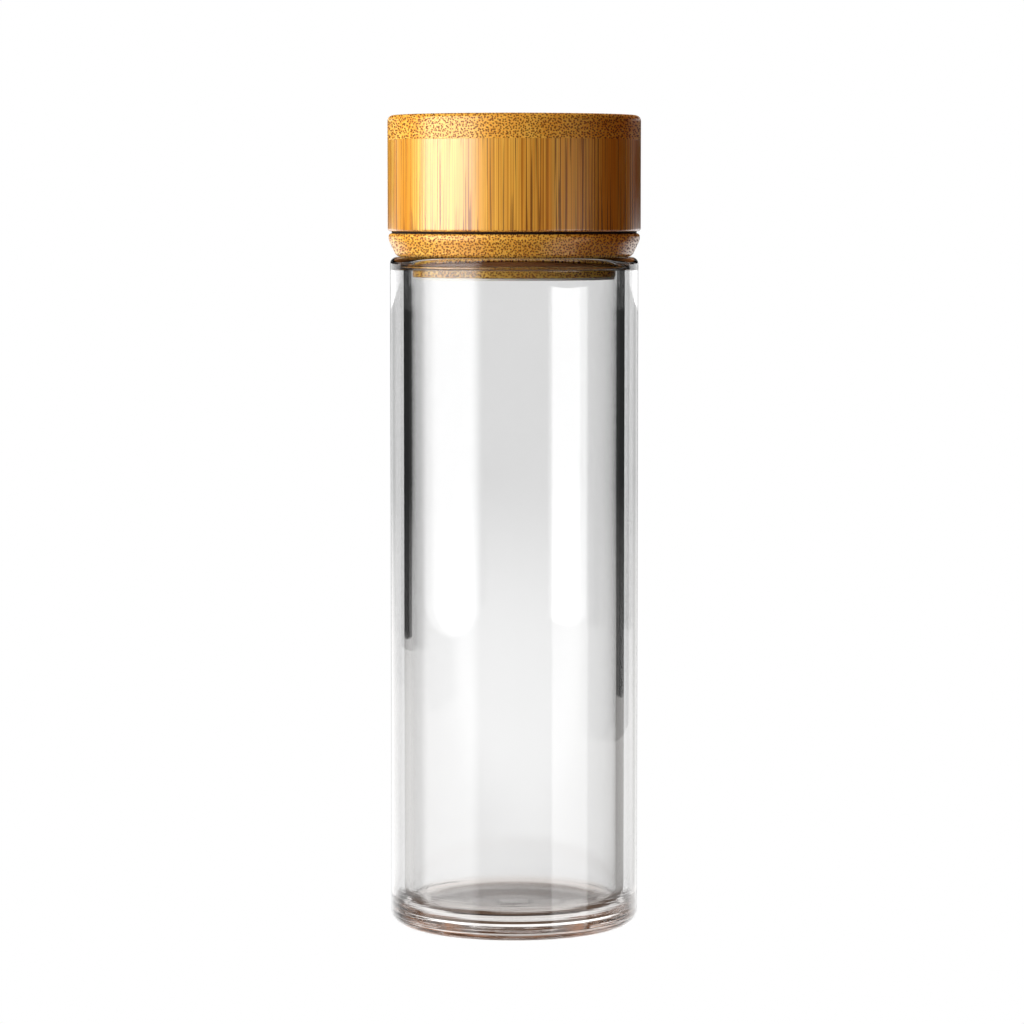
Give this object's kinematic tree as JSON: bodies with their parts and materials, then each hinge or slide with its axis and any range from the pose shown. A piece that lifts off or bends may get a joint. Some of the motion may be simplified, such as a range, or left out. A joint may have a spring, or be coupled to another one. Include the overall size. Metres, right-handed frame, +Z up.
{
  "type": "double-wall glass water bottle",
  "caption": "Clear double-wall glass bottle with a bamboo pull-out stopper, a drinking neck and a bamboo screw cap.",
  "frame": {"origin": "centre of the base, on the surface that the bottle stands on", "axes": "+Z up along the bottle's axis towards the cap, +X to the right and +Y away in the front view"},
  "size_m": [0.069, 0.069, 0.2213],
  "materials": {
    "glass": "polished",
    "bamboo_side": "satin lacquer",
    "bamboo_end": "satin lacquer",
    "polypropylene": "satin",
    "silicone": "translucent, satin",
    "seal_rubber": "satin"
  },
  "bodies": {
    "vessel": {"outer_glass": "glass", "inner_glass": "glass", "seal_tip": "glass"},
    "stopper": {"collar": "bamboo_end", "plug": "bamboo_end", "plug_seal": "seal_rubber", "neck": "polypropylene", "neck_o_ring": "silicone", "clamp_ring": "polypropylene"},
    "cap_seal": {"cap_gasket": "silicone"},
    "cap": {"cap_liner": "polypropylene", "cap_sleeve": "bamboo_side", "cap_top": "bamboo_end"}
  },
  "joints": [
    {"name": "stopper_pull", "type": "slide", "parent": "vessel", "child": "stopper", "axis": [0, 0, 1], "range_m": [0, 0.05]},
    {"name": "cap_rise", "type": "slide", "parent": "stopper", "child": "cap_seal", "axis": [0, 0, 1], "range_m": [0, 0.0055]},
    {"name": "cap_turn", "type": "hinge", "parent": "cap_seal", "child": "cap", "pos_m": [0, 0, 0.2], "axis": [0, 0, 1], "range_deg": [0, 460]}
  ],
  "couplings": [
    {"joint": "cap_rise", "follows": "cap_turn", "m_per_rad": 0.00063662}
  ]
}
